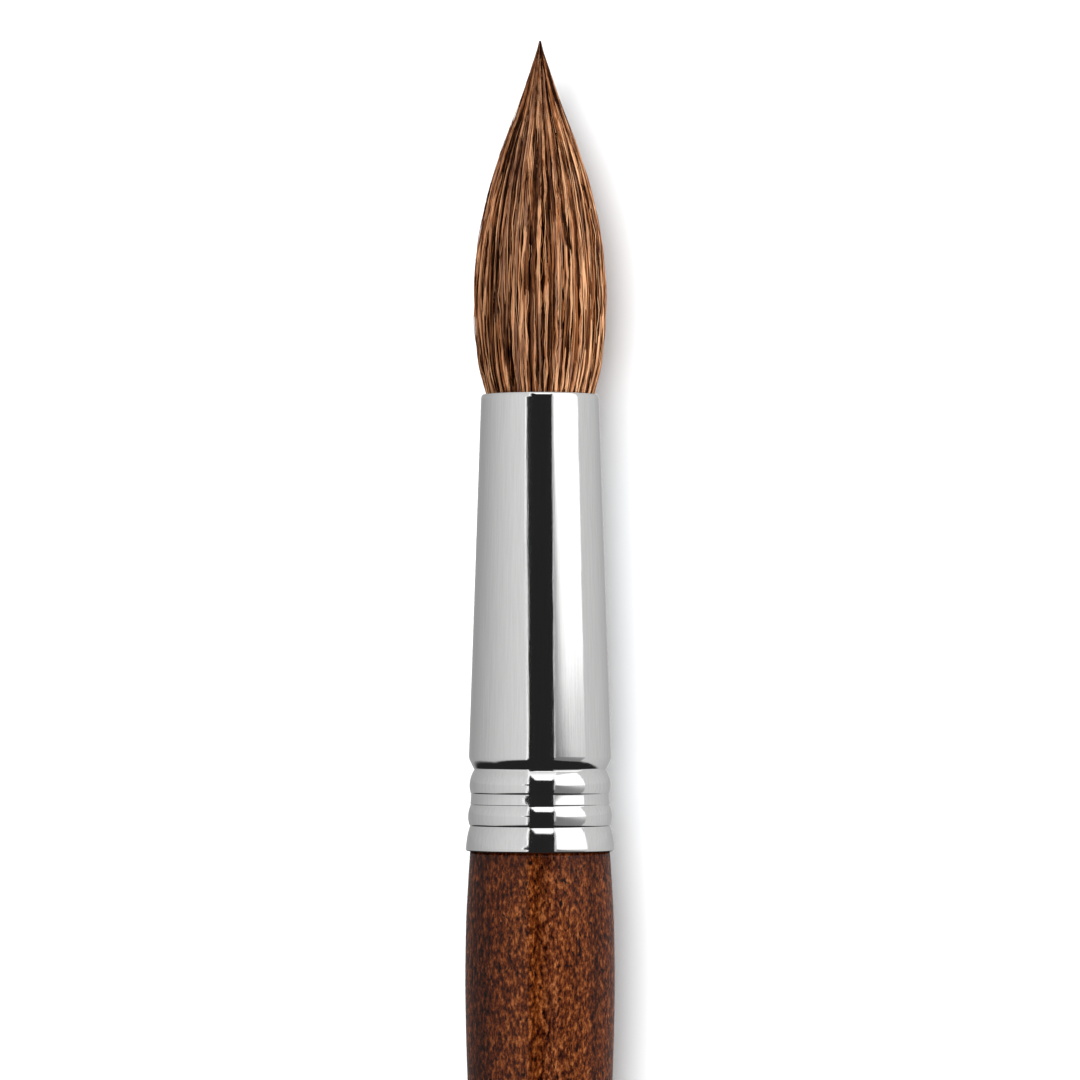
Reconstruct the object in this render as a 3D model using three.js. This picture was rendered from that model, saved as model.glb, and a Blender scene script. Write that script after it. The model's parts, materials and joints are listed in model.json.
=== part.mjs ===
// A large round watercolour brush, lying on its side with the hair towards +X.
//
// A turned wooden handle is glued and crimped into one end of a seamless, tapered metal ferrule. The other end
// holds the tuft: a bundle of hair that is tied with thread at its root and set in resin inside the ferrule.
// The tuft is springy, so it is two solids: its root, held by the ferrule, and the free hair, which bends on it.
//
// Every piece is turned round the brush's axis. A place along that axis is its distance from the ferrule's mouth,
// in millimetres: positive towards the hair's tip and negative towards the handle's tail.
import * as THREE from "three";

// ---- Driving dimensions, in millimetres and degrees ----

const SIDES = 32; // flats round every turned piece, with one of them facing down
const CURVE_STEPS = 3; // points along each curve of the ferrule
const CORNER_SPACING = 0.2; // the least distance between two corners of an outline
const FIT_GAP = 0.1; // radial room between pieces that are nested in each other

const HAIR_OUT = 40.6; // from the ferrule's mouth to the hair's tip
const FERRULE_LENGTH = 52.4;
const HANDLE_OUT = 168; // the part of the handle behind the ferrule
const GRIP_LENGTH = 33; // the bellied part of the handle, before its long taper
const TAIL_ROUND = 4.5; // length of the rounded tail end
const TAIL_FLAT_RADIUS = 1.2;

const MOUTH_RADIUS = 6.79; // outside of the ferrule
const WALL = 0.4;
const LIP = 0.3; // rounding of the ferrule's mouth
const SHOULDER = { at: -40.7, radius: 8.12 }; // where the ferrule's long taper ends
const SHOULDER_CORNER = { at: -42.4, radius: 8.22 }; // what its curve into the first groove rounds off
const GROOVES = [
  { at: -43.2, radius: 7.66 },
  { at: -45.8, radius: 7.82 },
  { at: -47.1, radius: 7.87 },
  { at: -49.5, radius: 7.98 },
];
const BEAD_TOPS = { first: 8.04, second: 8.21, rim: 8.52 };
const REAR_RADIUS = 8.44; // of the ferrule's rear edge

const TENON_FRONT = -29; // how far the handle reaches up inside the ferrule
const TENON_CHAMFER = 1;
const GLUE_ROOM = 0.45; // radial room for glue between the tenon and the ferrule
const GLUE_SPAN = [-30.5, -52];

const ROOT_END = -15; // the back end of the hair
const ROOT_RADIUS = 6.0;
const MOUTH_HOLD = 3.5; // how far behind its mouth the ferrule holds the hair at its full width
const WAIST = { from: -7.5, to: -12.5, radius: 5.55, flare: 1 }; // where the thread pulls the root in
const THREAD = { radius: 0.3, turns: 6, pitch: 0.68, stepsPerTurn: 18, sides: 6 };
const RESIN = { front: -13.2, back: -18.4, meniscus: 0.9 }; // its back face is hollowed by the meniscus

// The free hair tilts on the root about a pivot on the axis, by up to its bend each way.
const PIVOT = { at: 4, bend: 35, gap: 0.3 };

// ---- Outlines: [place along the axis, radius] ----

// The free hair, from the mouth to the tip.
const HAIR_KNOTS = [
  [0, MOUTH_RADIUS - WALL - FIT_GAP],
  [4, 7.13],
  [10, 7.54],
  [16, 7.29],
  [22, 6.24],
  [28, 4.48],
  [34, 2.21],
  [37.6, 0.98],
  [HAIR_OUT, 0],
];

// The handle, from the ferrule's rear edge (at 0 here) back towards the tail.
const HANDLE_KNOTS = [
  [0, 8.03],
  [4, 8.28],
  [8, 8.48],
  [14.5, 8.58],
  [20, 8.5],
  [26, 8.31],
  [42, 7.52],
  [62, 6.42],
  [84, 5.3],
  [108, 4.36],
  [134, 3.62],
  [HANDLE_OUT - TAIL_ROUND, 3.05],
];

// The radius of an outline at a place between its knots, on a smooth curve that passes through each knot.
function radiusOn(knots, place) {
  const last = knots.length - 2;
  const i = Math.min(last, Math.max(0, knots.findLastIndex((k) => k[0] <= place)));
  const slope = (k) => {
    const [a, b] = [knots[Math.max(0, k - 1)], knots[Math.min(last + 1, k + 1)]];
    return (b[1] - a[1]) / (b[0] - a[0]);
  };
  const [[x0, y0], [x1, y1]] = [knots[i], knots[i + 1]];
  const width = x1 - x0;
  const t = (place - x0) / width;
  return (
    y0 * (2 * t ** 3 - 3 * t ** 2 + 1) +
    slope(i) * width * (t ** 3 - 2 * t ** 2 + t) +
    y1 * (3 * t ** 2 - 2 * t ** 3) +
    slope(i + 1) * width * (t ** 3 - t ** 2)
  );
}

// Evenly spaced places from one to another, both included.
function places(from, to, count) {
  return Array.from({ length: count }, (_, i) => from + ((to - from) * i) / (count - 1));
}

// Draws a curve over a bead, from one groove to the next, that passes the given top halfway.
function addBead(path, from, to, top) {
  const control = 2 * top - (from.radius + to.radius) / 2;
  path.quadraticCurveTo(control, (from.at + to.at) / 2, to.radius, to.at);
}

// The ferrule's outside from its mouth to its rear edge: lip, long taper, shoulder, two beads and a flared rim.
function ferruleOutside() {
  const [groove1, groove2, groove3, groove4] = GROOVES;
  const path = new THREE.Path();
  path.moveTo(MOUTH_RADIUS - LIP / 2, 0);
  path.quadraticCurveTo(MOUTH_RADIUS, 0, MOUTH_RADIUS, -LIP);
  path.lineTo(SHOULDER.radius, SHOULDER.at);
  path.quadraticCurveTo(SHOULDER_CORNER.radius, SHOULDER_CORNER.at, groove1.radius, groove1.at);
  addBead(path, groove1, groove2, BEAD_TOPS.first);
  path.lineTo(groove3.radius, groove3.at);
  addBead(path, groove3, groove4, BEAD_TOPS.second);
  addBead(path, groove4, { at: -FERRULE_LENGTH, radius: REAR_RADIUS }, BEAD_TOPS.rim);
  return path.getPoints(CURVE_STEPS).map((p) => [p.y, p.x]);
}

const FERRULE_OUTSIDE = ferruleOutside();

// The ferrule's inner radius at a place: its wall follows its outside.
function boreRadius(place) {
  const i = FERRULE_OUTSIDE.findIndex((p) => p[0] <= place);
  const [[x0, y0], [x1, y1]] = [FERRULE_OUTSIDE[i - 1], FERRULE_OUTSIDE[i]];
  return y0 + ((y1 - y0) * (place - x0)) / (x1 - x0) - WALL;
}

// The bore's outline between two places, drawn in by some room: its two ends, and its corners in between.
function boreBetween(front, back, room) {
  const isBetween = (place) => place < front - CORNER_SPACING && place > back + CORNER_SPACING;
  const corners = FERRULE_OUTSIDE.map((point) => point[0]).filter(isBetween);
  return [front, ...corners, back].map((place) => [place, boreRadius(place) - room]);
}

// ---- Solids ----

// A solid of revolution from an outline that runs from its front to its back, and ends on the axis or closes.
function turned(outline) {
  const line = [...outline].reverse().map(([place, radius]) => new THREE.Vector2(radius, place));
  return new THREE.LatheGeometry(line, SIDES, Math.PI / SIDES);
}

// A ring: its outside from front to back, then its inside from back to front.
function ring(outside, inside) {
  const around = [...outside, ...[...inside].reverse()];
  return turned([...around, around[0]]);
}

function makeFerrule() {
  const behindLip = FERRULE_OUTSIDE.filter((point) => point[0] < 0);
  const inside = [[0, MOUTH_RADIUS], ...behindLip].map(([place, radius]) => [place, radius - WALL]);
  return ring(FERRULE_OUTSIDE, inside);
}

// The handle: a tenon inside the ferrule, then the visible grip, the long taper and the rounded tail.
function makeHandle() {
  const tenon = boreBetween(TENON_FRONT - TENON_CHAMFER, -FERRULE_LENGTH, GLUE_ROOM);
  const nose = [
    [TENON_FRONT, 0],
    [TENON_FRONT, tenon[0][1] - TENON_CHAMFER],
  ];
  const shoulder = -FERRULE_LENGTH - FIT_GAP;
  const [tailStart, tailRadius] = HANDLE_KNOTS.at(-1);
  const backs = [...places(0, GRIP_LENGTH, 10), ...places(GRIP_LENGTH, tailStart, 12).slice(1)];
  const grip = backs.map((back) => [shoulder - back, radiusOn(HANDLE_KNOTS, back)]);
  const angles = places(0, Math.PI / 2, 6).slice(1);
  const tail = angles.map((angle) => [
    shoulder - tailStart - TAIL_ROUND * Math.sin(angle),
    TAIL_FLAT_RADIUS + (tailRadius - TAIL_FLAT_RADIUS) * Math.cos(angle),
  ]);
  return turned([...nose, ...tenon, ...grip, ...tail, [shoulder - HANDLE_OUT, 0]]);
}

// The glue bed: a thin sleeve between the tenon and the ferrule, moulded by the crimps.
function makeHandleGlue() {
  const outside = boreBetween(...GLUE_SPAN, FIT_GAP);
  const inside = boreBetween(...GLUE_SPAN, GLUE_ROOM - FIT_GAP);
  return ring(outside, inside);
}

// The face of a hair solid at the pivot: a cone that leans away from it by half the bend. Side is 1 for the free
// hair and -1 for the root.
function pivotCone(side) {
  const lean = Math.tan(THREE.MathUtils.degToRad(PIVOT.bend / 2));
  const tip = PIVOT.at + (side * PIVOT.gap) / 2;
  const rim = tip + side * radiusOn(HAIR_KNOTS, PIVOT.at) * lean;
  return { tip: [tip, 0], rim: [rim, radiusOn(HAIR_KNOTS, rim)] };
}

// The root: hair inside the ferrule, pulled in under the thread, and the first of the hair past the mouth.
function makeTuftRoot() {
  const cone = pivotCone(-1);
  const [mouth, mouthRadius] = HAIR_KNOTS[0];
  const held = [
    [mouth, mouthRadius],
    [mouth - MOUTH_HOLD, mouthRadius],
    [WAIST.from + WAIST.flare, ROOT_RADIUS],
    [WAIST.from, WAIST.radius],
    [WAIST.to, WAIST.radius],
    [WAIST.to - WAIST.flare, ROOT_RADIUS],
    [ROOT_END, ROOT_RADIUS],
  ];
  return turned([cone.tip, cone.rim, ...held, [ROOT_END, 0]]);
}

// The free hair, which bellies out past the mouth and comes to a fine point.
function makeTuftHair() {
  const cone = pivotCone(1);
  const surface = places(HAIR_OUT, cone.rim[0], 16).map((place) => [place, radiusOn(HAIR_KNOTS, place)]);
  return turned([...surface, cone.tip]);
}

// The thread that ties the root: one length of thread wound in a close helix round the waist.
function makeRootBinding() {
  const across = WAIST.radius + FIT_GAP + THREAD.radius;
  const start = (WAIST.from + WAIST.to + THREAD.turns * THREAD.pitch) / 2;
  const steps = THREAD.turns * THREAD.stepsPerTurn;
  const route = Array.from({ length: steps + 1 }, (_, i) => {
    const turn = (2 * Math.PI * i) / THREAD.stepsPerTurn;
    const place = start - (THREAD.pitch * i) / THREAD.stepsPerTurn;
    return new THREE.Vector3(across * Math.sin(turn), place, across * Math.cos(turn));
  });
  const section = new THREE.Shape(
    Array.from({ length: THREAD.sides }, (_, i) => {
      const angle = (2 * Math.PI * i) / THREAD.sides;
      return new THREE.Vector2(Math.cos(angle), Math.sin(angle)).multiplyScalar(THREAD.radius);
    }),
  );
  return new THREE.ExtrudeGeometry(section, {
    steps,
    extrudePath: new THREE.CatmullRomCurve3(route),
  });
}

// The resin: a cup that holds the back end of the root, bonded to the ferrule, with a hollowed back face.
function makeRootResin() {
  const holdRadius = ROOT_RADIUS + FIT_GAP;
  const outside = boreBetween(RESIN.front, RESIN.back, FIT_GAP);
  const backRadius = outside.at(-1)[1];
  const hollow = places(1, 0, 5).map((share) => [
    RESIN.back + RESIN.meniscus * (1 - share ** 2),
    share * backRadius,
  ]);
  const cup = [
    [ROOT_END - FIT_GAP, 0],
    [ROOT_END - FIT_GAP, holdRadius],
    [RESIN.front, holdRadius],
  ];
  return turned([...cup, ...outside, ...hollow.slice(1)]);
}

// ---- Materials ----

function material(color, roughness, metalness = 0) {
  return new THREE.MeshStandardMaterial({ color, roughness, metalness });
}

const LACQUERED_WOOD = material(0x5a2a12, 0.3);
const NICKEL = material(0xd2d2d2, 0.12, 1);
const HAIR = material(0x6b4026, 0.75);
const THREAD_MATERIAL = material(0xd9cfb8, 0.85);
const RESIN_MATERIAL = material(0xb98a3c, 0.25);
const GLUE_MATERIAL = material(0xd8c79a, 0.5);

// ---- The brush ----

const PIECES = [
  ["handle", makeHandle(), LACQUERED_WOOD],
  ["handle_glue", makeHandleGlue(), GLUE_MATERIAL],
  ["ferrule", makeFerrule(), NICKEL],
  ["root_resin", makeRootResin(), RESIN_MATERIAL],
  ["root_binding", makeRootBinding(), THREAD_MATERIAL],
  ["tuft_root", makeTuftRoot(), HAIR],
  ["tuft_hair", makeTuftHair(), HAIR],
];

// The turned pieces stand on +Y. The group lays them along +X on their lowest flat, centred over the origin.
const brush = new THREE.Group();
for (const [name, geometry, finish] of PIECES) {
  const mesh = new THREE.Mesh(geometry, finish);
  mesh.name = name;
  brush.add(mesh);
}
brush.rotation.z = -Math.PI / 2;
const box = new THREE.Box3().setFromObject(brush, true);
brush.position.set(-(box.min.x + box.max.x) / 2, 0, -box.min.z);

export default brush;
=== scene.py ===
"""A large round watercolour brush, seen from above on a white ground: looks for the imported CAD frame.

The brush lies along +X with the hair's tip at the +X end. Lengths are in metres. A place along the brush is
its distance from the ferrule's mouth: positive towards the tip, negative towards the tail.
"""

import json
import math

import bmesh
import bpy
import numpy as np
from mathutils import Matrix, Vector


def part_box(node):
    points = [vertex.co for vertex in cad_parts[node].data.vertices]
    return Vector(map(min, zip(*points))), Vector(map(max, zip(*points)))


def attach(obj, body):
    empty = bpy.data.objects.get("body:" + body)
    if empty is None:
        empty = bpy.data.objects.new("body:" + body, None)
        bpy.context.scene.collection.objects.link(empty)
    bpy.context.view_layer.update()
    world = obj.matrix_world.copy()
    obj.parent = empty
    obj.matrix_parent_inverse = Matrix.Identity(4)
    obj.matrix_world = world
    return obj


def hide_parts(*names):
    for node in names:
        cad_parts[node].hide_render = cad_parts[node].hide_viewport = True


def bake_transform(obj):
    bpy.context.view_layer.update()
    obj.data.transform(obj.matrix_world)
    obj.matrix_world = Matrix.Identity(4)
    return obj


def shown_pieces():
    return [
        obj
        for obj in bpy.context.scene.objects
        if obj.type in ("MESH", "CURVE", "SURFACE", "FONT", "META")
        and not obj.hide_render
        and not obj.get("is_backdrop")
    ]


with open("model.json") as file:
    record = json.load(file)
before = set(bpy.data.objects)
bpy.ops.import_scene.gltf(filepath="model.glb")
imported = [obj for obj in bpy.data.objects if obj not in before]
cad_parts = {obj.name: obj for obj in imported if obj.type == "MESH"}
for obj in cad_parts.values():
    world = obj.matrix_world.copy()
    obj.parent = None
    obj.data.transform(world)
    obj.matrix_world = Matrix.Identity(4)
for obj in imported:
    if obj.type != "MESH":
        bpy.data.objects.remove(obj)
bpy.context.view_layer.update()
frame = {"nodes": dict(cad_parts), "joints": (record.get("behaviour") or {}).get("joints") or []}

MM = 0.001
SEED = 12

HELD, TUFT = "handle_and_ferrule", "tuft"
PIVOT = frame["joints"][0]["pos_m"]
MOUTH_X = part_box("ferrule")[1][0]
REAR_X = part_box("ferrule")[0][0]
TIP_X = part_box("tuft_hair")[1][0]
AXIS_Z = PIVOT[2]

# ---- Camera: the photograph's viewing angle ----

VIEW_DISTANCE = 0.575
VIEW_WIDTH = 0.1242  # of the frame, at the brush's axis
VIEW_TILT = math.radians(1.7)  # the camera stands a little towards the handle
VIEW_CENTRE = Vector((MOUTH_X - 16.7 * MM, 0, AXIS_Z))
SENSOR = 36  # millimetres, as Blender's cameras count them


def turn_to(right, up, away):
    """The turn of a camera or a lamp that looks along -away."""
    return Matrix([[v[i] for v in (right, up, away)] for i in range(3)]).to_quaternion()


def make_camera():
    camera = bpy.data.objects.new("camera", bpy.data.cameras.new("camera"))
    camera.data.sensor_width = SENSOR
    camera.data.lens = SENSOR * VIEW_DISTANCE / VIEW_WIDTH
    camera.data.clip_end = 100
    away = Vector((-math.sin(VIEW_TILT), 0, math.cos(VIEW_TILT)))
    up = Vector((math.cos(VIEW_TILT), 0, math.sin(VIEW_TILT)))
    camera.location = VIEW_CENTRE + away * VIEW_DISTANCE
    camera.rotation_mode = "QUATERNION"
    camera.rotation_quaternion = turn_to(up.cross(away), up, away)
    bpy.context.scene.collection.objects.link(camera)
    bpy.context.scene.camera = camera


# ---- Meshes ----


def add_mesh(name, vertices, faces, material, smooth=True):
    mesh = bpy.data.meshes.new(name)
    vertices = np.asarray(vertices, np.float32)
    faces = np.asarray(faces, np.int32)
    mesh.vertices.add(len(vertices))
    mesh.vertices.foreach_set("co", vertices.ravel())
    sides = faces.shape[1]
    mesh.loops.add(faces.size)
    mesh.loops.foreach_set("vertex_index", faces.ravel())
    mesh.polygons.add(len(faces))
    mesh.polygons.foreach_set("loop_start", np.arange(0, faces.size, sides, dtype=np.int32))
    mesh.polygons.foreach_set("use_smooth", np.full(len(faces), smooth))
    mesh.update(calc_edges=True)
    mesh.materials.append(material)
    piece = bpy.data.objects.new(name, mesh)
    bpy.context.scene.collection.objects.link(piece)
    return piece


def smooth_radius(knots, places):
    """Radii at the places, on a smooth curve through the knots. The knots are [place, radius], in order."""
    x, y = np.asarray(knots, float).T
    slope = np.gradient(y, x)
    i = np.clip(np.searchsorted(x, places, side="right") - 1, 0, len(x) - 2)
    width = x[i + 1] - x[i]
    t = np.clip((places - x[i]) / width, 0, 1)
    rise = y[i] * (2 * t**3 - 3 * t**2 + 1) + y[i + 1] * (3 * t**2 - 2 * t**3)
    bow = slope[i] * (t**3 - 2 * t**2 + t) + slope[i + 1] * (t**3 - t**2)
    return rise + bow * width


def cad_outline(node):
    """A turned CAD node's outline as [place, radius], one for each of its rings, in order of place."""
    points = np.array([v.co for v in frame["nodes"][node].data.vertices])
    radius = np.hypot(points[:, 1], points[:, 2] - AXIS_Z)
    rings = {}
    for place, r in zip(np.round(points[:, 0] - MOUTH_X, 6), radius):
        rings[place] = max(rings.get(place, 0), r)
    return np.array(sorted(rings.items()))


def add_rectangle(name, x, y, material):
    """A flat rectangle that reaches x and y to each side of its own origin."""
    corners = [(-x, -y, 0), (x, -y, 0), (x, y, 0), (-x, y, 0)]
    return add_mesh(name, corners, [(0, 1, 2, 3)], material, smooth=False)


def ring_faces(rings, sides):
    """Quads between rings of points that follow each other."""
    a = np.arange(sides)
    b = np.roll(a, -1)
    row = np.arange(rings - 1)[:, None] * sides
    return np.stack([row + a, row + sides + a, row + sides + b, row + b], axis=-1).reshape(-1, 4)


def lathe(name, outline, sides, material):
    """A closed turned piece. Its outline is [place, radius], and has both ends on the axis or closes."""
    outline = np.asarray(outline, float)
    angle = np.linspace(0, 2 * math.pi, sides, endpoint=False)
    x = np.repeat(MOUTH_X + outline[:, 0], sides)
    y = np.outer(outline[:, 1], np.cos(angle)).ravel()
    z = AXIS_Z + np.outer(outline[:, 1], np.sin(angle)).ravel()
    piece = add_mesh(name, np.stack([x, y, z], axis=1), ring_faces(len(outline), sides), material)
    bm = bmesh.new()
    bm.from_mesh(piece.data)
    bmesh.ops.remove_doubles(bm, verts=bm.verts, dist=1e-7)
    bmesh.ops.dissolve_degenerate(bm, edges=bm.edges, dist=1e-8)
    bmesh.ops.recalc_face_normals(bm, faces=bm.faces)
    bm.to_mesh(piece.data)
    bm.free()
    return piece


def curve_points(start, corner, end, count):
    """Points on the curve from start to end that a corner pulls out, without the start."""
    t = np.linspace(0, 1, count + 1)[1:, None]
    start, corner, end = map(np.array, (start, corner, end))
    return (1 - t) ** 2 * start + 2 * t * (1 - t) * corner + t**2 * end


# ---- Materials ----


class Nodes:
    """Builds the node tree of a material or of the world."""

    def __init__(self, owner):
        owner.use_nodes = True
        self.owner = owner
        self.tree = owner.node_tree

    def set(self, socket, value):
        if isinstance(value, bpy.types.NodeSocket):
            self.tree.links.new(value, socket)
        else:
            socket.default_value = value

    def add(self, kind, settings=None, **inputs):
        node = self.tree.nodes.new(kind)
        for key, value in (settings or {}).items():
            setattr(node, key, value)
        for key, value in inputs.items():
            self.set(node.inputs[key.replace("_", " ")], value)
        return node

    def principled(self, **inputs):
        shader = self.tree.nodes["Principled BSDF"]
        for key, value in inputs.items():
            self.set(shader.inputs[key.replace("_", " ")], value)

    def coordinates(self, scale):
        """The piece's own coordinates, in metres, stretched by the scale."""
        where = self.add("ShaderNodeTexCoord").outputs["Object"]
        return self.add("ShaderNodeMapping", Vector=where, Scale=scale).outputs["Vector"]

    def noise(self, scale, detail=3.0, roughness=0.5):
        inputs = {"Vector": self.coordinates(scale), "Scale": 1.0, "Detail": detail, "Roughness": roughness}
        return self.add("ShaderNodeTexNoise", **inputs).outputs["Fac"]

    def ramp(self, value, stops):
        node = self.add("ShaderNodeValToRGB", Fac=value)
        elements = node.color_ramp.elements
        while len(elements) < len(stops):
            elements.new(0.5)
        for element, (place, colour) in zip(elements, stops):
            element.position = place
            element.color = (*colour, 1)
        return node.outputs["Color"]

    def math(self, operation, *values, clamp=False):
        node = self.add("ShaderNodeMath", {"operation": operation, "use_clamp": clamp})
        for socket, value in zip(node.inputs, values):
            self.set(socket, value)
        return node.outputs[0]

    def times(self, a, b, plus=0.0):
        """a times b, plus the third value."""
        return self.math("MULTIPLY_ADD", a, b, plus)

    def step(self, value, low, high):
        """0 at low and 1 at high, and the same beyond them, with a smooth change between."""
        node = self.add("ShaderNodeMapRange", {"interpolation_type": "SMOOTHSTEP"}, Value=value)
        node.inputs["From Min"].default_value = low
        node.inputs["From Max"].default_value = high
        return node.outputs["Result"]

    def multiply(self, share, a, b):
        """Colour a, darkened by colour b as far as the share says."""
        node = self.add("ShaderNodeMix", {"data_type": "RGBA", "blend_type": "MULTIPLY"}, Factor=share)
        self.set(node.inputs[6], a)
        self.set(node.inputs[7], b)
        return node.outputs[2]

    def bump(self, height, strength, distance):
        node = self.add("ShaderNodeBump", Height=height, Strength=strength, Distance=distance)
        self.principled(Normal=node.outputs["Normal"])


def new_material(name):
    return Nodes(bpy.data.materials.new(name))


def grey(value):
    return (value, value, value)


def nickel_plate():
    """Bright metal with very faint lines along the tube and shallow waves."""
    n = new_material("nickel_plate")
    lines = n.noise((60, 5200, 5200), detail=4, roughness=0.6)
    waves = n.noise((90, 420, 420), detail=2)
    n.principled(
        Base_Color=n.ramp(lines, [(0.3, (0.60, 0.597, 0.595)), (0.7, (0.65, 0.647, 0.645))]),
        Metallic=1.0,
        Roughness=n.times(lines, 0.05, plus=0.04),
        Specular_Tint=(0.8, 0.8, 0.8, 1),
    )
    n.bump(n.times(lines, 0.25, plus=waves), strength=0.12, distance=0.1 * MM)
    return n.owner


WOOD_LIT_LINE_Y = -1.2 * MM  # of the handle's lightest line, away from which its sides get painted shade
PAINTED_SHADE_START, PAINTED_SHADE_FULL = 1.0 * MM, 8.5 * MM  # aside from that line, where the painted shade on the handle's sides starts and is full
FERRULE_SHADOW_REACH = 4 * MM  # of the handle behind the ferrule, which gets a painted shadow that darkens towards it


def lacquered_wood():
    """Reddish wood with fine flecks, broad bands and dark pores under a thin clear coat, with painted shade
    on its sides and a painted shadow towards the ferrule.
    """
    n = new_material("lacquered_wood")
    flecks = n.noise((1200, 2500, 2500), detail=3, roughness=0.7)
    pores = n.noise((1300, 2300, 2300), detail=1.5)
    bands = n.noise((14, 330, 330), detail=3, roughness=0.6)
    clouds = n.noise((110, 300, 300), detail=2)
    wood = n.ramp(
        flecks,
        [
            (0.34, (0.010, 0.0013, 0.0002)),
            (0.44, (0.06, 0.011, 0.002)),
            (0.54, (0.15, 0.035, 0.006)),
            (0.68, (0.40, 0.135, 0.038)),
        ],
    )
    bands = n.ramp(bands, [(0.36, (0.3, 0.24, 0.22)), (0.54, grey(1.0))])
    wood = n.multiply(0.75, wood, bands)
    wood = n.multiply(0.5, wood, n.ramp(clouds, [(0.3, (0.6, 0.5, 0.46)), (0.7, grey(1.0))]))
    x, y, _ = n.add("ShaderNodeSeparateXYZ", Vector=n.coordinates((1, 1, 1))).outputs
    # Painted shade: the handle darkens across y, away from its lightest line, as if its sides were turned
    # from the light.
    aside = n.math("ABSOLUTE", n.math("SUBTRACT", y, WOOD_LIT_LINE_Y))
    wood = n.multiply(n.step(aside, PAINTED_SHADE_START, PAINTED_SHADE_FULL), wood, (0.62, 0.52, 0.5, 1))
    # Painted shadow: the wood darkens towards the ferrule's rear edge.
    wood = n.multiply(n.step(x, REAR_X - FERRULE_SHADOW_REACH, REAR_X), wood, (0.6, 0.52, 0.5, 1))
    wood = n.multiply(0.9, wood, n.ramp(pores, [(0.30, grey(0.0)), (0.37, grey(1.0))]))
    n.principled(
        Base_Color=wood,
        Roughness=0.5,
        Specular_IOR_Level=0.0,
        Coat_Weight=0.28,
        Coat_Roughness=0.2,
        Coat_IOR=1.5,
    )
    n.bump(clouds, strength=0.06, distance=0.2 * MM)
    return n.owner


HAIR_DRIFT = 1.1  # how far a strand's shade drifts along its length


def hair(name, shine, stops):
    """Hair of one colour group. Each strand has its own shade, which drifts along its length."""
    n = new_material(name)
    shade = n.add("ShaderNodeAttribute", {"attribute_name": "shade"}).outputs["Fac"]
    drift = n.noise((260, 2200, 2200), detail=2)
    tone = n.math("MULTIPLY_ADD", n.math("SUBTRACT", drift, 0.5), HAIR_DRIFT, shade, clamp=True)
    n.principled(Base_Color=n.ramp(tone, stops), Roughness=0.45, Specular_IOR_Level=shine)
    return n.owner


def plain(name, dark, light, scale, roughness):
    """A finish for the hidden pieces: a mottled colour with a fine bump."""
    n = new_material(name)
    grain = n.noise(grey(scale), detail=4)
    n.principled(Base_Color=n.ramp(grain, [(0.3, dark), (0.7, light)]), Roughness=roughness)
    n.bump(grain, strength=0.3, distance=0.1 * MM)
    return n.owner


# ---- Ferrule ----

WALL = 0.4 * MM
LIP_REACH = 0.6 * MM  # of the rounding at the mouth
REAR_REACH = 0.25 * MM  # of the rounding at the rear edge, behind the last bead
FERRULE_END = REAR_X - MOUTH_X  # the place where the handle comes out
MOUTH_RADIUS = 6.79 * MM
SHOULDER = np.array([-41.5, 8.17]) * MM
SHOULDER_CORNER = np.array([-41.9, 8.2]) * MM
TUBE_STEPS, SHOULDER_STEPS, SEAM_STEPS, BEAD_STEPS = 42, 16, 4, 18  # along the outline of each
BEADS = np.array(
    [  # where each bead or ring starts, the corner that pulls its curve out, and where it ends
        [[-43.05, 7.55], [-44.5, 8.37], [-45.7, 7.98]],
        [[-45.83, 7.91], [-46.4, 7.94], [-47.0, 8.0]],
        [[-47.1, 7.95], [-48.3, 8.5], [-49.4, 8.1]],
        [[-49.53, 8.02], [-50.35, 8.39], [-52.15, 8.53]],
    ]
) * MM


def ferrule_outside():
    """The outside from the lip to the rear edge, as [place, radius]."""
    mouth = np.array([-LIP_REACH, MOUTH_RADIUS])
    tube = np.linspace(mouth, SHOULDER, TUBE_STEPS)
    parts = [tube, curve_points(SHOULDER, SHOULDER_CORNER, BEADS[0, 0], SHOULDER_STEPS)]
    for start, corner, end in BEADS:
        seam = np.linspace(parts[-1][-1], start, SEAM_STEPS)
        parts += [seam, curve_points(start, corner, end, BEAD_STEPS)]
    return np.concatenate(parts)


def half_round(place, radius, reach, count):
    """The wall's rounded end, from the outside to the inside. A positive reach points to the tip."""
    turn = np.linspace(0, math.pi, count)[1:-1]
    return np.stack([place + reach * np.sin(turn), radius - WALL / 2 * (1 - np.cos(turn))], axis=1)


def make_ferrule(material):
    """The tube with its inside, its lip and its rolled rear edge, turned as one closed outline."""
    outside = ferrule_outside()
    inside = outside[::-1] - [0, WALL]
    roll = half_round(*outside[-1], -REAR_REACH, 12)
    lip = half_round(*outside[0], LIP_REACH, 14)[::-1]
    closed = np.concatenate([outside, roll, inside, lip, outside[:1]])
    apart = np.linalg.norm(np.diff(closed, axis=0), axis=1) > 1e-7
    piece = lathe("ferrule_shell", closed[np.r_[True, apart]], 256, material)
    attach(piece, HELD)
    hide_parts("ferrule")


# ---- Handle ----


def make_handle(material):
    """The CAD handle, with a smooth curve through the rings of the part that shows."""
    outline = cad_outline("handle")
    shown = outline[outline[:, 0] < FERRULE_END]
    tenon = outline[outline[:, 0] >= FERRULE_END][::-1]
    places = np.linspace(shown[-1, 0], shown[0, 0], 420)
    surface = np.stack([places, smooth_radius(shown, places)], axis=1)
    front = [[tenon[0, 0], 0]]
    tail = [[shown[0, 0], 0]]
    piece = lathe("handle_body", np.concatenate([front, tenon, surface, tail]), 192, material)
    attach(piece, HELD)
    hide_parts("handle")


# ---- Hair ----

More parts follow.
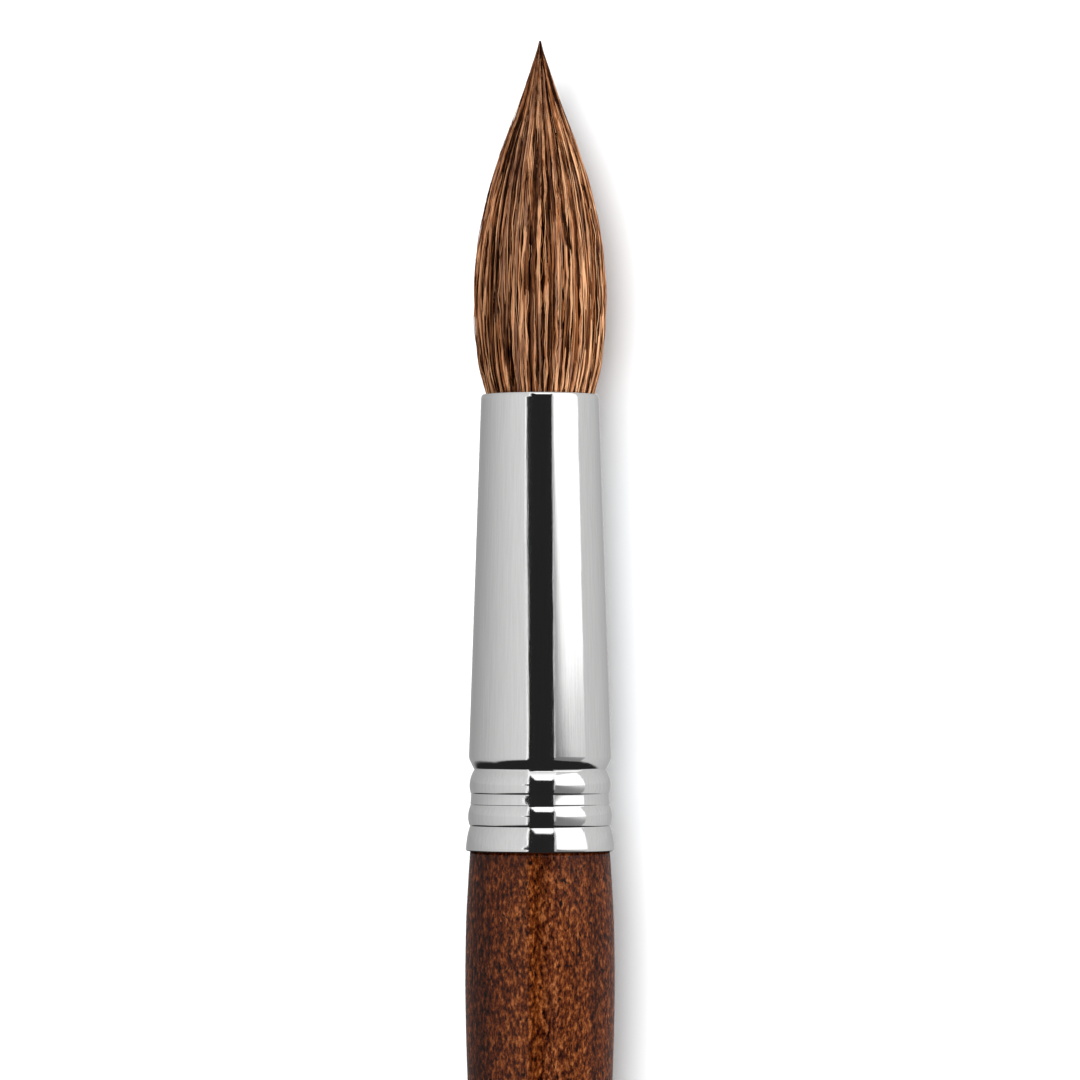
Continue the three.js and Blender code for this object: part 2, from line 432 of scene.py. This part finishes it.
HAIR_START = -3 * MM  # inside the ferrule
HAIR_END = TIP_X - MOUTH_X + 0.3 * MM
HAIR_PROUD = 0.14 * MM  # of the hair's outside, over the CAD tuft's
HAIR_RISE = 3 * MM  # from the mouth to where the hair is so proud
BELLY_RADIUS = 7.4 * MM  # where the tuft is thinner than this, its locks sway less
THIN_RADIUS = 3 * MM  # where it is thinner than this, its strands are less deep
CRAMPED_RADIUS = 1.6 * MM  # where it is thinner than this, its locks narrow with it
STEPS, SIDES = 38, 3  # of each strand's tube
SLOW_SWAY, QUICK_SWAY = 0.18 * MM, 0.07 * MM  # of a lock to the sides, typically
OWN_SWAY = 0.04 * MM  # of a strand within its lock, typically
DIP = 0.13 * MM  # of a lock below its depth, on average along it
CROWN = 0.10 * MM  # of a lock's middle over its sides
ROUGHNESS_DEPTH = 0.03 * MM  # of single strands below their lock
TONE, LOCK_SPREAD, STRAND_SPREAD = 0.63, 0.34, 0.1  # the mean shade, and how locks and strands differ in it
CREVICE_PAINTED_SHADE, POINT_SHADE = 0.35, 0.2  # how much painted shade darkens a lock's sides, and how much darker the tuft's point is
CORE_DEPTH = 0.6 * MM  # of the core's surface, painted nearly black as shade, below the CAD tuft's outside


def hair_outline():
    """The tuft's outside, from behind the ferrule's mouth to the tip."""
    root, free = cad_outline("tuft_root"), cad_outline("tuft_hair")
    root = root[(root[:, 0] > HAIR_START) & (root[:, 1] > 5 * MM)]
    root = root[np.r_[True, np.diff(root[:, 0]) > 1e-5]]
    free = free[free[:, 0] > 6 * MM]
    return np.concatenate([[[HAIR_START * 1.5, root[0, 1]]], root, free])


def wave(rng, count, low, high):
    """For each of the count, a sine wave along the tuft with its own number of turns, from low to high."""
    turns = rng.uniform(low, high, (count, 1))
    start = rng.random((count, 1))
    return lambda t: np.sin(2 * math.pi * (turns * t + start))


def tube_points(place, out, angle, radius):
    """The corners of tubes. Each point of their middle lines has a place along the brush, a distance out
    from its axis, an angle round it, and the tube's radius there."""
    centre = np.stack([MOUTH_X + place, out * np.cos(angle), AXIS_Z + out * np.sin(angle)], axis=-1)
    outward = np.stack([np.zeros_like(angle), np.cos(angle), np.sin(angle)], axis=-1)
    along = np.gradient(centre, axis=1)
    along /= np.linalg.norm(along, axis=-1, keepdims=True)
    sideways = np.cross(along, outward)
    sideways /= np.linalg.norm(sideways, axis=-1, keepdims=True)
    outward = np.cross(sideways, along)
    turn = 2 * math.pi * (np.arange(SIDES)[None, None, :, None] + 0.25) / SIDES
    tube = np.cos(turn) * outward[:, :, None, :] + np.sin(turn) * sideways[:, :, None, :]
    return centre[:, :, None, :] + radius[:, :, None, None] * tube


def make_strands(name, rng, material, locks, each, width, depth, thickness, ends):
    """Strands from inside the ferrule towards the point, in locks that sway, swell and dip among their
    neighbours. Width is a lock's, depth is below the hair's outside, and ends is the share of the hair's
    length that the locks reach. Rows are locks or strands, and columns are steps along them."""
    outline = hair_outline()
    t = np.linspace(0, 1, STEPS + 1)[None, :]
    lock_end = rng.uniform(*ends, (locks, 1))
    lock_angle = (2 * math.pi / locks) * (np.arange(locks)[:, None] + rng.normal(0, 0.35, (locks, 1)))
    lock_half = rng.uniform(*width, (locks, 1)) * 0.7
    lock_depth = rng.uniform(*depth, (locks, 1))
    swell = wave(rng, locks, 1.5, 4.0)
    slow = wave(rng, locks, 0.4, 1.3)
    quick = wave(rng, locks, 5.0, 11.0)
    dip = wave(rng, locks, 1.0, 4.0)
    sway = slow(t) * rng.normal(0, SLOW_SWAY, (locks, 1))
    sway = sway + quick(t) * rng.normal(0, QUICK_SWAY, (locks, 1))
    half = lock_half * (0.8 + 0.35 * swell(t))
    below = lock_depth + DIP * (1 + dip(t))

    def spread_out(values):
        return np.repeat(values, each, axis=0)

    count = locks * each
    across = np.tile(np.linspace(-1, 1, each + 2)[1:-1], locks)[:, None]
    across = across + rng.normal(0, 0.12, (count, 1))
    end = HAIR_END * np.clip(spread_out(lock_end) + rng.uniform(-0.06, 0.02, (count, 1)), 0, 1)
    place = HAIR_START + (end - HAIR_START) * t
    surface = smooth_radius(outline, place) + HAIR_PROUD * np.clip(place / HAIR_RISE, 0, 1)
    own = wave(rng, count, 2, 7)(t) * rng.normal(0, OWN_SWAY, (count, 1))
    aside = spread_out(sway) * np.clip(surface / BELLY_RADIUS, 0, 1) + across * spread_out(half) + own
    angle = spread_out(lock_angle) + aside / np.maximum(surface, CRAMPED_RADIUS)
    taper = 0.45 + 0.55 * np.clip((1 - t) / 0.4, 0, 1) ** 0.8
    radius = thickness * rng.uniform(0.85, 1.15, (count, 1)) * taper
    sunk = spread_out(below) + CROWN * across**2 + rng.uniform(0, ROUGHNESS_DEPTH, (count, 1))
    out = surface - radius - sunk * np.clip(surface / THIN_RADIUS, 0, 1)
    out = np.maximum(out, 0.02 * MM + 0.25 * surface * rng.random((count, 1)))
    points = tube_points(place, out, angle, radius)
    first_point = np.arange(count)[:, None, None] * (STEPS + 1) * SIDES
    faces = first_point + ring_faces(STEPS + 1, SIDES)[None]
    piece = add_mesh(name, points.reshape(-1, 3), faces.reshape(-1, 4), material)
    tone = spread_out(rng.normal(TONE, LOCK_SPREAD, (locks, 1)))
    tone = tone + rng.normal(0, STRAND_SPREAD, (count, 1))
    # The strands at a lock's sides get painted shade, darker as if shaded in the crevices between locks;
    # the strands also darken towards the tuft's point.
    tone = tone - CREVICE_PAINTED_SHADE * across**2 - POINT_SHADE * t**3
    give_shade(piece, np.repeat(np.clip(tone, 0, 1), SIDES))
    return piece


def give_shade(piece, values):
    """Sets the shade, from 0 to 1, that the hair's material reads at each point."""
    shade = piece.data.attributes.new("shade", "FLOAT", "POINT")
    shade.data.foreach_set("value", values.astype(np.float32))


def finish_hair(piece):
    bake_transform(piece)


def make_core(material):
    """The body of hair under the strands, coloured nearly black as painted shade for the gaps between the
    locks.
    """
    places = np.linspace(HAIR_END - 1.5 * MM, HAIR_START, 90)
    radius = np.maximum(smooth_radius(hair_outline(), places) - CORE_DEPTH, 0.05 * MM)
    surface = np.stack([places, radius], axis=1)
    point = [[places[0] + 0.3 * MM, 0]]
    root = [[HAIR_START, 0]]
    piece = lathe("hair_core", np.concatenate([point, surface, root]), 128, material)
    # A low shade in the dark material paints the core nearly black, as painted shade deep between the
    # locks.
    give_shade(piece, np.full(len(piece.data.vertices), 0.1))
    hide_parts("tuft_root", "tuft_hair")
    return piece


def make_hair():
    """The core and four sets of strands, all from one seed."""
    rng = np.random.default_rng(SEED)
    dark = hair(
        "hair_dark",
        0.0,
        [
            (0.0, (0.006, 0.001, 0.0002)),
            (0.6, (0.028, 0.007, 0.002)),
            (1.0, (0.09, 0.035, 0.018)),
        ],
    )
    brown = hair(
        "hair_brown",
        0.04,
        [
            (0.0, (0.010, 0.002, 0.0005)),
            (0.4, (0.055, 0.014, 0.004)),
            (0.75, (0.21, 0.08, 0.036)),
            (1.0, (0.42, 0.21, 0.125)),
        ],
    )
    gold = hair(
        "hair_gold",
        0.06,
        [
            (0.0, (0.04, 0.011, 0.003)),
            (0.5, (0.46, 0.165, 0.058)),
            (1.0, (1.0, 0.56, 0.30)),
        ],
    )
    pieces = [
        make_core(dark),
        make_strands(
            "hair_dark_strands", rng, dark, locks=120, each=6, width=(0.3 * MM, 0.5 * MM),
            depth=(0.14 * MM, 0.36 * MM), thickness=0.06 * MM, ends=(0.94, 1.0),
        ),
        make_strands(
            "hair_brown_strands", rng, brown, locks=150, each=5, width=(0.12 * MM, 0.32 * MM),
            depth=(0.0, 0.24 * MM), thickness=0.055 * MM, ends=(0.9, 1.0),
        ),
        make_strands(
            "hair_gold_strands", rng, gold, locks=130, each=6, width=(0.12 * MM, 0.32 * MM),
            depth=(0.0, 0.18 * MM), thickness=0.05 * MM, ends=(0.7, 0.98),
        ),
        make_strands(
            "hair_loose_strands", rng, gold, locks=130, each=1, width=(0.05 * MM, 0.2 * MM),
            depth=(-0.04 * MM, 0.1 * MM), thickness=0.042 * MM, ends=(0.7, 0.98),
        ),
    ]
    for piece in pieces:
        finish_hair(piece)


# ---- Hidden pieces ----


def finish_hidden_pieces():
    """Gives the CAD pieces inside the ferrule finishes of their own."""
    finishes = {
        "handle_glue": plain("glue", (0.5, 0.4, 0.22), (0.68, 0.58, 0.35), 900, 0.5),
        "root_resin": plain("resin", (0.32, 0.16, 0.03), (0.5, 0.3, 0.07), 500, 0.2),
        "root_binding": plain("thread", (0.42, 0.36, 0.26), (0.7, 0.64, 0.5), 2600, 0.85),
    }
    for node, material in finishes.items():
        slots = frame["nodes"][node].data.materials
        slots.clear()
        slots.append(material)


# ---- Floor and light ----

WHITE, BLACK = (1, 1, 1, 1), (0, 0, 0, 1)
FLOOR_SIZE = 60
SWEEP_RADIUS = 8
LIGHT_DISTANCE = 1.2  # of the lamps and the card, from the brush's axis
BOX_ANGLE = math.radians(51.5)  # of the right-hand soft box, from straight up towards -Y
BOX_WIDTH = 1.22
BOX_FRONT = MOUTH_X + 1.1


def show_to(piece, camera=False, glossy=False):
    """Hides a stage piece from all rays but these."""
    piece.visible_camera = camera
    piece.visible_glossy = glossy
    piece.visible_diffuse = False
    piece.visible_transmission = False
    piece.visible_shadow = False


def glowing(name, strength=1.0):
    """A material that only glows, in white."""
    n = new_material(name)
    n.principled(Base_Color=BLACK, Specular_IOR_Level=0.0, Emission_Color=WHITE, Emission_Strength=strength)
    return n


def make_floor():
    """A white floor. Polished metal doesn't mirror it: the world below the horizon stands in for it."""
    n = new_material("floor")
    n.principled(
        Base_Color=(0.92, 0.93, 0.94, 1),
        Roughness=0.9,
        Specular_IOR_Level=0.0,
        Emission_Color=WHITE,
        Emission_Strength=0.085,
    )
    floor = add_rectangle("floor", FLOOR_SIZE / 2, FLOOR_SIZE / 2, n.owner)
    floor.visible_glossy = False
    floor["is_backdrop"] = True
    return floor


def make_sweep():
    """The white studio sweep behind the floor, a dome that only the camera sees."""
    rings, sides = 17, 64
    rise = np.linspace(-0.05, math.pi / 2 - 0.01, rings)[:, None]
    around = np.linspace(0, 2 * math.pi, sides, endpoint=False)[None, :]
    x, y = np.cos(rise) * np.cos(around), np.cos(rise) * np.sin(around)
    z = np.sin(rise) + 0 * around
    points = np.stack([x, y, z], axis=-1).reshape(-1, 3) * SWEEP_RADIUS
    sweep = add_mesh("sweep", points, ring_faces(rings, sides), glowing("sweep", 1.1).owner)
    show_to(sweep, camera=True)
    sweep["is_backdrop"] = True


def stand(thing, angle, along):
    """Puts a lamp or a card over the brush, at an angle from straight up towards -Y, facing the brush."""
    direction = Vector((0, -math.sin(angle), math.cos(angle)))
    side = Vector((1, 0, 0))
    thing.location = Vector((along, 0, AXIS_Z)) + direction * LIGHT_DISTANCE
    thing.rotation_mode = "QUATERNION"
    thing.rotation_quaternion = turn_to(side, direction.cross(side), direction)


def make_box_card():
    """The right-hand soft box as the metal mirrors it, on a card that only glossy surfaces see. It is
    brighter towards the tip, and its upper edge is softer towards the tail."""
    back = MOUTH_X - 0.95
    middle = (BOX_FRONT + back) / 2
    n = glowing("box_card")
    x, y, _ = n.add("ShaderNodeSeparateXYZ", Vector=n.coordinates((1, 1, 1))).outputs
    place = n.math("ADD", x, middle)
    glow = n.times(n.step(place, 0.112, 0.142), 0.85, plus=0.95)
    behind = n.math("MAXIMUM", n.math("SUBTRACT", 0.23, place), 0.0)
    softness = n.times(behind, 5.8, plus=0.06)
    from_edge = n.math("DIVIDE", n.math("SUBTRACT", BOX_WIDTH / 2, y), softness)
    inner = n.times(n.step(from_edge, 0.0, 1.0), 0.7, plus=0.3)
    n.principled(Emission_Strength=n.times(glow, inner))
    card = add_rectangle("box_card", (BOX_FRONT - back) / 2, BOX_WIDTH / 2, n.owner)
    stand(card, BOX_ANGLE, middle)
    show_to(card, glossy=True)
    card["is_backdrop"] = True


def make_world():
    """Pale all round. The metal mirrors its dark parts, a strip over the brush and a wedge behind the
    handle, and its two bright parts, a spot in the strip and a line along the strip's left edge. The x, y
    and z of a direction run from -1 to 1."""
    world = bpy.data.worlds.new("studio")
    bpy.context.scene.world = world
    n = Nodes(world)
    where = n.add("ShaderNodeTexCoord").outputs["Generated"]
    x, y, z = n.add("ShaderNodeSeparateXYZ", Vector=where).outputs
    back = n.times(x, -1.0)
    forward = n.step(x, 0.055, 0.125)
    over_floor = n.step(z, -0.15, 0.0)

    def between(right, left):
        """How far y is inside the two edges."""
        return n.math("MINIMUM", n.math("SUBTRACT", left, y), n.math("SUBTRACT", y, right))

    # The strip is widest at an x of 0.13.
    left = n.times(forward, 0.12, plus=0.32)
    left = n.times(n.step(x, 0.13, 0.2), -0.13, plus=left)
    left = n.times(n.step(x, 0.3, 0.9), -0.08, plus=left)
    strip = n.step(between(-0.39, left), -0.008, 0.012)

    # The spot is around a y of -0.1 and widens towards the tip. Its glow fades out beyond an x of 0.65.
    spot_offset = n.math("ABSOLUTE", n.math("ADD", y, 0.1))
    spot_side = n.times(x, 0.5, plus=n.times(spot_offset, -1.0))
    spot_top = n.times(x, 2.0, plus=n.times(z, -1.0))
    spot = n.times(n.step(spot_side, -0.02, 0.03), n.step(spot_top, -0.05, 0.1))
    spot = n.times(spot, strip)
    glow = n.times(spot, n.step(x, 0.85, 0.65))
    strip = n.math("SUBTRACT", n.times(strip, over_floor), spot)

    # The wedge opens towards the tail, and below the horizon it starts less far back.
    wedge = n.step(between(n.times(x, 1.6), n.times(back, 2.4)), 0.0, 0.05)
    backward = n.times(n.math("MINIMUM", z, 0.0), -0.35, plus=back)
    wedge = n.times(wedge, n.step(backward, 0.5, 0.6))

    # The line is just outside the strip.
    from_line = n.math("ABSOLUTE", n.math("SUBTRACT", n.math("SUBTRACT", y, left), 0.022))
    line = n.times(n.step(from_line, 0.026, 0.012), over_floor)

    pale = n.times(z, 0.2, plus=n.times(y, -0.06, plus=0.76))
    pale = n.times(n.times(y, z), 0.12, plus=pale)
    pale = n.times(forward, 0.05, plus=pale)
    pale = n.times(glow, 0.8, plus=pale)
    pale = n.times(line, 0.7, plus=pale)
    light = n.math("SUBTRACT", 1.0, n.math("MAXIMUM", strip, wedge))
    level = n.times(light, pale, plus=0.025)
    n.set(n.tree.nodes["Background"].inputs["Color"], level)


def add_lamp(name, kind, angle, along, lit):
    """A lamp that metal doesn't mirror, and that lights only some of the pieces."""
    lamp = bpy.data.objects.new(name, bpy.data.lights.new(name, kind))
    stand(lamp, angle, along)
    lamp.visible_camera = False
    lamp.visible_glossy = False
    bpy.context.scene.collection.objects.link(lamp)
    group = bpy.data.collections.new("lit_by_" + name)
    for piece in lit:
        group.objects.link(piece)
    lamp.light_linking.receiver_collection = group
    return lamp.data


def soft_box(name, angle, front, back, width, strength, lit):
    """A rectangular lamp along the brush. Its power follows its size, so the strength is its brightness."""
    light = add_lamp(name, "AREA", angle, (front + back) / 2, lit)
    light.shape = "RECTANGLE"
    light.size = front - back
    light.size_y = width
    light.energy = strength * math.pi * width * (front - back)


def floor_sun(angle, spread, strength, floor):
    """A broad sun that throws the brush's soft shadow on the floor."""
    light = add_lamp("floor_sun", "SUN", angle, 0, [floor])
    light.angle = spread
    light.energy = strength * math.pi


def make_lamps(floor):
    """Two soft boxes for all but the handle, one for the handle alone, and a sun for the floor alone."""
    handle = [bpy.data.objects["handle_body"]]
    others = [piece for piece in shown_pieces() if piece not in handle]
    front, back = MOUTH_X + 0.75, MOUTH_X - 0.75
    soft_box("soft_box", BOX_ANGLE, BOX_FRONT, MOUTH_X - 0.8, width=BOX_WIDTH, strength=1.3, lit=others)
    soft_box("top_box", 0.0, front, back, width=0.6, strength=1.2, lit=others)
    soft_box("handle_box", math.radians(17), front, back, width=0.5, strength=5.8, lit=handle)
    floor_sun(math.radians(-16), spread=math.radians(34), strength=0.87, floor=floor)


# ---- The scene ----

bpy.context.scene.view_settings.view_transform = "Standard"
make_camera()
make_ferrule(nickel_plate())
make_handle(lacquered_wood())
make_hair()
finish_hidden_pieces()
make_sweep()
floor = make_floor()
make_world()
make_box_card()
make_lamps(floor)
